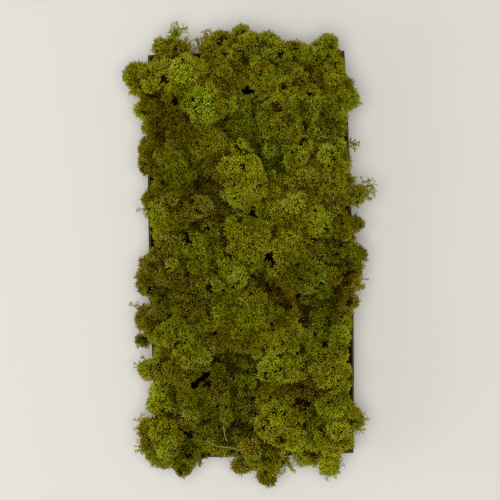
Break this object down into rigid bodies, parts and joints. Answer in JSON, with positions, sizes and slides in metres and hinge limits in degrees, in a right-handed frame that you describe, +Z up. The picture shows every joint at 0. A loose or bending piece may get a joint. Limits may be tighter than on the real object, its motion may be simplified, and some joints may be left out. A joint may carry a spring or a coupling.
{
  "type": "reindeer moss clump",
  "caption": "Shallow rectangular cardboard tray heaped with preserved reindeer moss, whose rounded heads of forking branches stand above the rim and lean over it.",
  "frame": {"origin": "centre of the tray's bottom face, on the surface that it stands on", "axes": "+Y along the tray's length, towards the top of the picture; +X across it, to the picture's right; +Z up out of the open tray"},
  "size_m": [0.2048, 0.3873, 0.0806],
  "materials": {
    "cardboard": "brown kraft corrugated board, its fluted edge open at the rim",
    "moss_bright": "fine dry forking branches, bright yellow-green, matte",
    "moss_olive": "fine dry forking branches, olive green, matte",
    "moss_green": "fine dry forking branches, deeper green, matte",
    "moss_brown": "fine dry forking branches, olive turning orange-brown at the tips, matte"
  },
  "bodies": {
    "root": {"tray": "cardboard", "moss_cushion_01": "moss_olive", "moss_cushion_02": "moss_brown", "moss_cushion_03": "moss_olive", "moss_cushion_04": "moss_olive", "moss_cushion_05": "moss_green", "moss_cushion_06": "moss_bright", "moss_cushion_07": "moss_bright", "moss_cushion_08": "moss_olive", "moss_cushion_09": "moss_olive", "moss_cushion_10": "moss_bright", "moss_cushion_11": "moss_bright", "moss_cushion_12": "moss_bright", "moss_cushion_13": "moss_green", "moss_cushion_14": "moss_olive", "moss_cushion_15": "moss_olive", "moss_cushion_16": "moss_green", "moss_cushion_17": "moss_olive", "moss_cushion_18": "moss_olive", "moss_cushion_19": "moss_bright", "moss_cushion_20": "moss_olive", "moss_cushion_21": "moss_bright", "moss_cushion_22": "moss_bright", "moss_cushion_23": "moss_bright", "moss_cushion_24": "moss_brown", "moss_cushion_25": "moss_bright", "moss_cushion_26": "moss_bright", "moss_cushion_27": "moss_bright", "moss_cushion_28": "moss_green", "moss_cushion_29": "moss_bright", "moss_cushion_30": "moss_bright", "moss_cushion_31": "moss_olive", "moss_cushion_32": "moss_green", "moss_cushion_33": "moss_brown", "moss_cushion_34": "moss_olive", "moss_cushion_35": "moss_bright", "moss_cushion_36": "moss_brown", "moss_cushion_37": "moss_green", "moss_cushion_38": "moss_brown", "moss_cushion_39": "moss_olive", "moss_cushion_40": "moss_bright", "moss_cushion_41": "moss_bright", "moss_cushion_42": "moss_bright", "moss_cushion_43": "moss_green", "moss_cushion_44": "moss_olive", "moss_cushion_45": "moss_green", "moss_cushion_46": "moss_bright", "moss_cushion_47": "moss_bright", "moss_cushion_48": "moss_bright", "moss_cushion_49": "moss_olive", "moss_cushion_50": "moss_brown", "moss_cushion_51": "moss_olive", "moss_cushion_52": "moss_olive", "moss_cushion_53": "moss_bright", "moss_cushion_54": "moss_bright", "moss_cushion_55": "moss_green", "moss_cushion_56": "moss_olive", "moss_cushion_57": "moss_olive", "moss_cushion_58": "moss_bright"}
  },
  "joints": []
}
